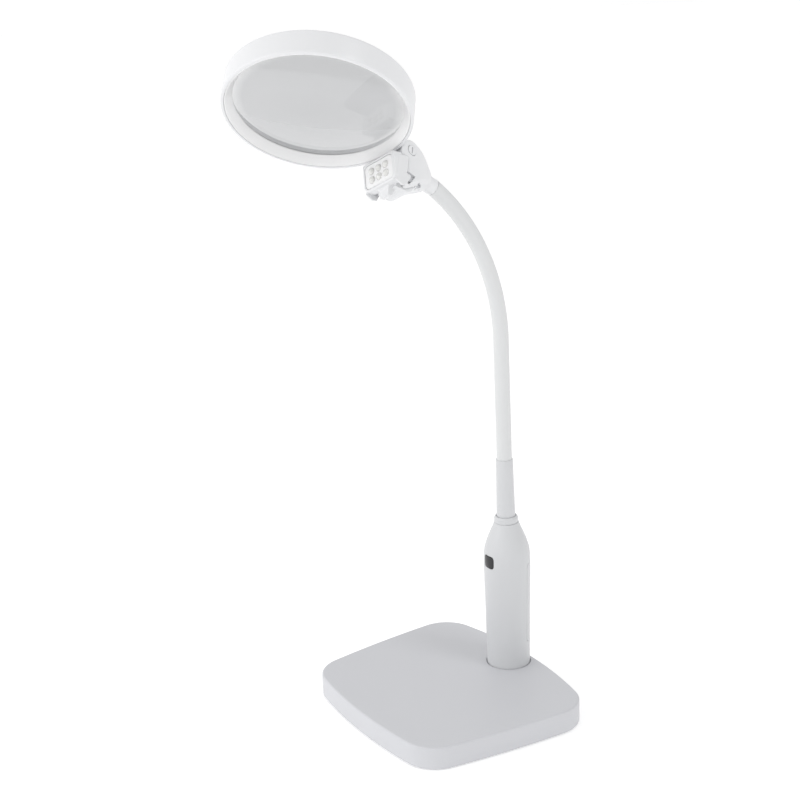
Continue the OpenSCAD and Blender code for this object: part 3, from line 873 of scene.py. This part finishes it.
# ------------------------------------------------------------------ yoke
SIDE = spline([(-70.0, -10.5), (-75.5, -9.7), (-82, -7.9), (-90, -5.6), (-98, -4.0), (-104, -3.7), (-104, 11.9), (-98.5, 11.6), (-96, 12.4),
               (-93.6, 14.1), (-90.8, 15.5), (-87.5, 16.1), (-84, 17.2), (-80, 19.4), (-74.5, 22.8), (-70.6, 24.9), (-68.2, 25.4)], 5, closed=False)
SIDE = np.concatenate([SIDE, [[-66.9, 24.8], [-66.9, 4.7], [-66.9, -3], [-67.4, -10.4]]])
WY = np.array([-110, -98, -94, -90, -85, -80, -76, -72, -50.0])
WW = np.array([7.2, 7.2, 7.5, 8.3, 10.0, 11.9, 12.9, 13.4, 13.4])


def width(y):
    """Half width of the yoke, smooth along its length."""
    w = np.interp(y, WY, WW)
    for d in (1.5, 3.0):
        w = w * 0.5 + 0.25 * (np.interp(y - d, WY, WW) + np.interp(y + d, WY, WW))
    return w


def swivel_coords(P):
    c, s = math.cos(TILT * D2R), math.sin(TILT * D2R)
    y, z = P[..., 1], P[..., 2]
    # ring frame to swivel frame
    d = c * y - s * z + REACH
    m = s * y + c * z
    return P[..., 0], d, m


def yoke_field(side):
    def f(P):
        x, y, z = P[..., 0], P[..., 1], P[..., 2]
        ax = np.abs(x)
        prof = sd_poly(y, z, SIDE)
        reach = 69.4 - np.sqrt(np.maximum(61.2**2 - x * x, 0)) - 0.5
        ear = np.hypot(y - H1Y, z - H1Z) - np.minimum(7.9, reach)
        prof = smin(prof, ear, 1.2)
        corner = np.maximum(np.maximum(H1Y - y, y + 59.5), np.maximum(H1Z - z, z - 3.9))
        prof = smin(prof, corner, 0.8)
        body = smax(prof, ax - width(y), 2.4)
        body = smax(body, 62.15 - np.hypot(x, y), 0.5)
        sx, d, m = swivel_coords(P)
        rad = np.hypot(sx, m)
        body = smax(body, rad - 6.9 - 0.75 * (d - 7.6), 2.0)
        body = smax(body, 7.6 - d, 1.0)
        spigot = smax(rad - 5.8, np.maximum(0.12 - d, d - 16), 0.2)
        body = smin(body, spigot, 0.7)
        cut = np.minimum(sd_rod(P, H1Y, H1Z, 8.2, -7.3, 7.3), sd_box(P, (-7.3, H1Y - 8.2, -30), (7.3, -40, H1Z)))
        cut = np.minimum(cut, sd_box(P, (-7.3, H1Y, H1Z - 1), (7.3, -40, 7)))
        body = smax(body, -cut, 0.7)
        pod = np.minimum(sd_rod(P, H2Y, H2Z, 8.5, -9.2, 9.2), sd_box(P, (-9.2, H2Y, 5), (9.2, -40, 40)))
        pod = np.minimum(pod, sd_box(P, (-9.2, -76.5, 18), (9.2, -40, 40)))
        pod = np.minimum(pod, sd_box(P, (-4.5, -86, -1), (4.5, -72, 15)))
        body = smax(body, -pod, 0.7)
        # moulded rim round the light's seat
        lip = np.hypot(y + 68.6, z - 18.2) - 7.6
        band = np.abs(np.maximum(lip, -(z - 15.5))) - 0.28
        body = smax(body, -np.maximum(band, np.maximum(13.2 - ax, 15.0 - z)), 0.25)
        v = sd_poly(y, z, [(-60, 13.9), (-66.9, 13.9), (-74.4, 14.9), (-69.8, 22.8), (-60, 22.8)])
        body = smax(body, -np.maximum(v, 11.0 - ax), 0.35)
        body = smax(body, -sd_rod(P, H1Y, H1Z, 3.6, 11.9, 20), 0.35)
        body = smax(body, -sd_rod(P, H1Y, H1Z, 3.6, -20, -11.4), 0.35)
        body = smax(body, -sd_rod(P, H1Y, H1Z, 2.05, -20, 20), 0.2)
        body = smax(body, -sd_rod(P, H2Y, H2Z, 1.55, -20, 20), 0.2)
        for sy, sz, sd in YS:
            body = smax(body, -np.maximum(sd_rod(P, sy, sz, 2.3, sd, 20), body + 0.9), 0.2)
            body = smax(body, -sd_rod(P, sy, sz, 1.25, -4.8, sd + 0.5), 0.2)
            if sz > 0:
                body = smax(body, -sd_rod(P, sy, sz, 1.15, sd, 20), 0.15)
        body = smax(body, -np.maximum(rad - 4.06, d - 18), 0.2)
        body = smax(body, -np.maximum(rad - 6.3, np.abs(d - 11.25) - 1.55), 0.2)
        return smax(body, 0.03 - side * x, 0.4)

    return f


YS = [(-80.5, 16.6, 8.2), (-84.0, -3.6, 7.2)]


def yoke_parts():
    for side, name in ((1, "yoke_right"), (-1, "yoke_left")):
        lo = (-0.6, -103.6, -12.4) if side > 0 else (-15.0, -103.6, -12.4)
        hi = (15.0, -60.0, 28.0) if side > 0 else (0.6, -60.0, 28.0)
        ob = implicit(name + "_smooth", yoke_field(side), lo, hi, 0.42, MAT["head"], M_RING)
        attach(ob, "head")
        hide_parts(name)


# ------------------------------------------------------------------ ring and lens
def ring_parts():
    RR, T = 61.2, 17.6
    pts = [(59.0, 0), (RR, 0), (RR, -T), (56.9, -T), (55.3, -10.3), (55.3, -9.62), (59.0, -9.62)]
    p = rounded(pts, [0.35, 1.7, 1.7, 0.6, 0.3, 0.1, 0.2], 9)
    q = []
    for a, b in zip(p, p[1:] + p[:1]):
        q.append(a)
        if math.hypot(b[0] - a[0], b[1] - a[1]) > 5:
            q += [(a[0] + (b[0] - a[0]) * t, a[1] + (b[1] - a[1]) * t) for t in (0.25, 0.5, 0.75)]
    ob = lathe("lens_ring_smooth", q, MAT["head"], M_RING, 256)
    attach(ob, "ring")
    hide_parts("lens_ring")

    def tongue(P):
        x, y, z = P[..., 0], P[..., 1], P[..., 2]
        d = sd_rod(P, H1Y, H1Z, 6.6, -6.6, 6.6)
        b = sd_box(P, (-6.6, H1Y, H1Z - 6.6), (6.6, -59.4, H1Z + 2.8))
        d = smin(d, b, 0.8)
        d = smax(d, np.abs(x) - 6.6, 0.8)
        d = smax(d, 60.6 - np.hypot(x, y), 0.3)
        return smax(d, -sd_rod(P, H1Y, H1Z, 2.05, -20, 20), 0.25)

    ob = implicit("ring_tongue_smooth", tongue, (-7.4, -77, -10.6), (7.4, -58, 5.0), 0.4, MAT["head"], M_RING)
    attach(ob, "ring")

    pts = [(58.85, -0.55), (58.85, -6.95), (54.3, -6.95), (54.3, -6.35), (58.25, -0.55)]
    p = rounded(pts, [0.12, 0, 0.1, 0.25, 0.2], 5)
    # painted light: the retainer is the ring's plastic, drawn in the whiter face plastic to stand for the light it
    # catches from below
    ob = lathe("lens_retainer_smooth", p, MAT["face"], M_RING, 256, sharp=30)
    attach(ob, "ring")
    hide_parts("lens_retainer")

    # lens: flat top, convex underside, ground edge
    cap = 5.6
    R = (54.9**2 + cap**2) / (2 * cap)
    prof = [(0.0, -9.55)]
    prof += [(r, -9.55) for r in (8, 20, 34, 46, 54, 57.6)]
    prof += [(57.95, -9.3), (57.95, -7.4), (57.7, -7.12), (56.0, -7.1)]
    for a in np.linspace(math.asin(54.9 / R), 0, 40):
        prof.append((R * math.sin(a), -7.1 - (R - cap) + R * math.cos(a)))
    prof[-1] = (0.0, -7.1 + cap)
    ob = lathe("lens_smooth", prof, MAT["lens"], M_RING, 256, closed=False, sharp=25)
    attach(ob, "ring")
    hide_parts("lens")


# ------------------------------------------------------------------ light pod
PW, PZT, PZB = 15.2, -10.2, 10.0
LED_PX, LED_PZ = 6.7, 6.0


def pod_parts():
    c12, s12 = math.cos(12 * D2R), math.sin(12 * D2R)

    def field(P):
        # P in the ring frame
        x = P[..., 0]
        dy, dz = P[..., 1] + 53.7, P[..., 2] - 15.8
        y = c12 * dy + s12 * dz
        z = -s12 * dy + c12 * dz
        # front outline: small round top corners, larger bottom corners
        qx = np.abs(x)
        r = np.where(z > 0, 4.5, 1.6)
        cx, cz = qx - PW + r, np.abs(z - (PZT + PZB) / 2) - (PZB - PZT) / 2 + r
        front = np.hypot(np.maximum(cx, 0), np.maximum(cz, 0)) + np.minimum(np.maximum(cx, cz), 0) - r
        body = smax(front, np.maximum(y, -13.6 - y), 1.4)
        body = smax(body, -np.maximum(y + 8.0, z + 8.6), 1.2)
        back = sd_poly(dy, dz, [(30, -30), (30, 40), (-2.5, 40), (-8.5, 11), (-11.9, -1), (-11.9, -30)])
        body = smax(body, back, 1.2)
        # side skins that lap over the yoke, with a pointed end
        skin = sd_poly(P[..., 1], P[..., 2], [(-57, 8), (-61, 5.4), (-65.4, 5.4), (-65.4, 17.4), (-69.9, 17.3), (-66.7, 23.6), (-65.9, 26.2), (-62.2, 27.6), (-57, 26)])
        lap = smax(skin, np.maximum(13.7 - qx, qx - PW), 0.5)
        body = smin(body, lap, 0.6)
        # finger tab under the face
        tab = sd_poly(y, z, [(-2.6, -2), (-3.3, 17.2), (-6.0, 17.3), (-14, 7), (-14, -2)])
        taper = qx - (5.7 - np.clip(z - 9.0, 0, 10) * 0.22)
        tab = smax(tab, taper, 1.0)
        body = smin(body, tab, 1.2)
        knuckle = sd_rod(P, H2Y, H2Z, 8.0, -8.9, 8.9, 0.6)
        neck = np.maximum(sd_box(P, (-8.9, H2Y, H2Z - 8), (8.9, -62, H2Z + 8)), z - 12.5)
        neck = np.maximum(neck, -9 - z)
        body = smin(body, smin(knuckle, smax(neck, qx - 8.9, 0.6), 0.5), 0.6)
        body = smax(body, -sd_rod(P, H2Y, H2Z, 1.55, -20, 20), 0.2)
        Q = np.stack([x, y, z], -1)
        rx2, rz2 = qx - 13.2 + 3.2, np.abs(z - 0.0) - 8.3 + 3.2
        plate = np.hypot(np.maximum(rx2, 0), np.maximum(rz2, 0)) + np.minimum(np.maximum(rx2, rz2), 0) - 3.2
        body = smax(body, -np.maximum(plate, -2.2 - y), 0.35)
        body = smax(body, -sd_box(Q, (-11.6, -8.6, -6.6), (11.6, 1, 6.6)), 0.3)
        return body

    ob = implicit("pod_housing_smooth", field, (-16.2, -79.4, 2.0), (16.2, -49.5, 36.5), 0.4, MAT["head"], M_RING)
    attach(ob, "pod")
    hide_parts("pod_housing")

    # face plate with six round windows
    zc = 0.0
    us = [-13.0 + 0.25, -12.4, -11.7, -10.9] + [-10.05 + 1.34 * k for k in range(1, 15)] + [10.9, 11.7, 12.4, 13.0 - 0.25]
    us = [-12.75, -12.2, -11.6, -10.9, -10.05]
    for c in (-6.7, 0.0, 6.7):
        us += [c - 3.35 + 6.7 * k / 8 for k in range(1, 9)]
    us += [10.9, 11.6, 12.2, 12.75]
    vs = [-7.85, -7.4, -6.8, -6.0]
    for c in (-3.0, 3.0):
        vs += [c - 3.0 + 6.0 * k / 8 for k in range(1, 9)]
    vs += [6.8, 7.4, 7.85]
    us, vs = [round(float(u), 5) for u in us], [round(float(v), 5) for v in vs]
    holes = []
    for cx in (-6.7, 0.0, 6.7):
        for cz in (-3.0, 3.0):
            i0, i1 = us.index(round(cx - 3.35, 5)), us.index(round(cx + 3.35, 5))
            j0, j1 = vs.index(round(cz - 3.0, 5)), vs.index(round(cz + 3.0, 5))

            def to(u, v, cx=cx, cz=cz):
                l = math.hypot(u - cx, v - cz)
                return (cx + (u - cx) / l * 2.72, cz + (v - cz) / l * 2.72)

            holes.append({"i": (i0, i1), "j": (j0, j1), "to": to})
    sh = Sheet(us, vs, holes, corner=(0, 0, 12.75, 7.85, 2.75), rings=1)
    ob = sh.shell("pod_face_smooth", MAT["face"], lambda u, v, d: (u, -0.3 - d, v), 1.5, M_POD, edge=0.22)
    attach(ob, "pod")
    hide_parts("pod_face")

    leds = []
    for i, cx in enumerate((-6.7, 0.0, 6.7)):
        for j, cz in enumerate((-3.0, 3.0)):
            M = M_POD @ frame4(rx(-90), [cx, 0, cz])
            prof = [(0, -5.0), (2.75, -5.0), (2.8, -4.9), (2.8, -4.1), (2.7, -4.0), (2.48, -4.0), (2.48, -0.75)]
            prof += [(2.48 * math.cos(a), -0.75 + 2.48 * math.sin(a)) for a in np.linspace(0.08, math.pi / 2, 14)]
            prof[-1] = (0.0, 1.73)
            ob = lathe(f"led_body_{i}{j}", prof, MAT["led"], M, 40, closed=False, sharp=50)
            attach(ob, "pod")
            if not leds:
                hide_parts("leds")
            leds.append(ob)
            cup = [(0, -3.45), (0.9, -3.35), (1.15, -3.2), (2.15, -1.35), (2.3, -1.3), (2.3, -1.5), (1.3, -3.6), (0, -3.7)]
            ob = lathe(f"led_cup_{i}{j}", cup, MAT["cup"], M, 32, closed=False, sharp=30)
            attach(ob, "pod")
            die = [(0, -3.4), (0.6, -3.3), (0.75, -3.0), (0.6, -2.8), (0, -2.7)]
            ob = lathe(f"led_die_{i}{j}", die, MAT["phosphor"], M, 24, closed=False, sharp=60)
            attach(ob, "pod")


# ------------------------------------------------------------------ carried-over pieces
def carried():
    looks = {
        "base_pad": "foam", "base_plate": "base", "base_weight": "iron", "base_screws": "steel", "post_screws": "steel",
        "battery_tray": "inner", "batteries": "wrap", "battery_springs": "steel", "battery_contacts": "steel",
        "control_board": "board", "switch_body": "inner", "neck_ferrule": "steel", "yoke_screws": "steel",
        "ring_hinge_screw": "head", "ring_hinge_nut": "steel", "ring_hinge_washers": "steel", "led_board": "board", "pod_pin": "steel",
        "base_cover": "base", "post_housing": "post", "battery_door": "post", "switch_button": "switch", "neck_collar": "post",
        "neck_sleeve": "post", "neck_root": "neck", "yoke_left": "head", "yoke_right": "head", "lens_ring": "head", "lens": "lens",
        "lens_retainer": "head", "pod_housing": "head", "pod_face": "face", "leds": "led"}
    for i in range(1, 8):
        looks[f"neck_link_{i}"] = "neck"
    for n, ob in NODES.items():
        m = MAT[looks[n]]
        ob.data.materials.clear()
        ob.data.materials.append(m)
        if n in ("base_screws", "post_screws", "base_plate", "base_pad", "ring_hinge_screw", "ring_hinge_nut", "yoke_screws", "pod_pin"):
            b = ob.modifiers.new("edges", "BEVEL")
            b.width = 0.00012
            b.segments = 2
            b.limit_method = "ANGLE"
            b.angle_limit = math.radians(50)


# ------------------------------------------------------------------ camera, floor, lights
def setting():
    a, e, rho = 1.0153984265069853, 0.28304935892500044, -0.03826679924211365
    X, Y, Z = 33.51254291796667, -226.2742025652776, 1042.312350193251
    ca, sa, ce, se = math.cos(a), math.sin(a), math.cos(e), math.sin(e)
    r = np.array([ca, sa, 0])
    u = np.array([-sa * se, ca * se, ce])
    t = np.array([sa * ce, -ca * ce, se])
    c, s = math.cos(rho), math.sin(rho)
    R = np.array([c * r + s * u, -s * r + c * u, t])
    C = -R.T @ np.array([X, Y, -Z])
    cam = bpy.data.cameras.new("camera")
    cam.sensor_width = 36
    cam.lens = 1393.567956190074 / 800 * 36
    cam.clip_start, cam.clip_end = 0.01, 50
    ob = bpy.data.objects.new("camera", cam)
    m = Matrix.Identity(4)
    for i in range(3):
        for j in range(3):
            m[i][j] = R[j][i]
    for i in range(3):
        m[i][3] = C[i] * MM
    ob.matrix_world = m
    bpy.context.scene.collection.objects.link(ob)
    bpy.context.scene.camera = ob

    fl = Mat("studio_floor")
    fl.link(fl.ramp(fl.noise(3, 2), [(0.3, (0.89, 0.89, 0.89)), (0.7, (0.91, 0.91, 0.91))]), "Base Color")
    fl.set(Roughness=0.95)
    fl.b.inputs["Specular IOR Level"].default_value = 0.1
    fl.b.inputs["Emission Color"].default_value = (1, 1, 1, 1)
    fl.b.inputs["Emission Strength"].default_value = 0.29
    me = bpy.data.meshes.new("floor")
    S = 30.0
    me.from_pydata([(-S, -S, 0), (S, -S, 0), (S, S, 0), (-S, S, 0)], [], [(0, 1, 2, 3)])
    me.materials.append(fl.m)
    floor = bpy.data.objects.new("floor", me)
    bpy.context.scene.collection.objects.link(floor)

    # white studio all round: dimmer overhead and on the right, brighter in front and on the left
    w = bpy.data.worlds.new("studio")
    bpy.context.scene.world = w
    w.use_nodes = True
    t = w.node_tree
    bg = t.nodes["Background"]
    co = t.nodes.new("ShaderNodeTexCoord")
    sep = t.nodes.new("ShaderNodeSeparateXYZ")
    t.links.new(co.outputs["Generated"], sep.inputs["Vector"])

    def math_node(op, a, b):
        m = t.nodes.new("ShaderNodeMath")
        m.operation = op
        for k, v in enumerate((a, b)):
            if isinstance(v, float):
                m.inputs[k].default_value = v
            else:
                t.links.new(v, m.inputs[k])
        return m.outputs[0]

    up = t.nodes.new("ShaderNodeMapRange")
    up.interpolation_type = "SMOOTHSTEP"
    for k, v in (("From Min", 0.45), ("From Max", 0.8), ("To Min", 1.0), ("To Max", ZENITH)):
        up.inputs[k].default_value = v
    t.links.new(sep.outputs["Z"], up.inputs["Value"])
    side = math_node("ADD", math_node("MULTIPLY", sep.outputs["X"], -SIDE_X), math_node("MULTIPLY", sep.outputs["Y"], -SIDE_Y))
    t.links.new(math_node("MULTIPLY", math_node("ADD", side, AIR), up.outputs["Result"]), bg.inputs["Strength"])
    bg.inputs["Color"].default_value = (1, 1, 1, 1)

    def area(name, loc, target, size, power, size_y=None):
        li = bpy.data.lights.new(name, "AREA")
        li.energy = power
        li.size = size
        if size_y:
            li.shape = "RECTANGLE"
            li.size_y = size_y
        o = bpy.data.objects.new(name, li)
        o.location = loc
        d = Vector(target) - Vector(loc)
        o.rotation_mode = "QUATERNION"
        o.rotation_quaternion = d.to_track_quat("-Z", "Y")
        bpy.context.scene.collection.objects.link(o)

    area("front", (-0.55, -2.0, 1.2), (0, 0, 0.3), 1.4, 9, 0.9)
    area("top_right", (1.3, 0.6, 1.9), (0, 0, 0.1), 0.7, 8)
    sc = bpy.context.scene
    sc.view_settings.view_transform = "Standard"
    sc.view_settings.look = "None"


ZENITH, SIDE_X, SIDE_Y, AIR = 0.66, 0.18, 0.2, 1.0
carried()
setting()
base_cover()
post_parts()
neck_parts()
yoke_parts()
ring_parts()
pod_parts()

bpy.context.view_layer.update()
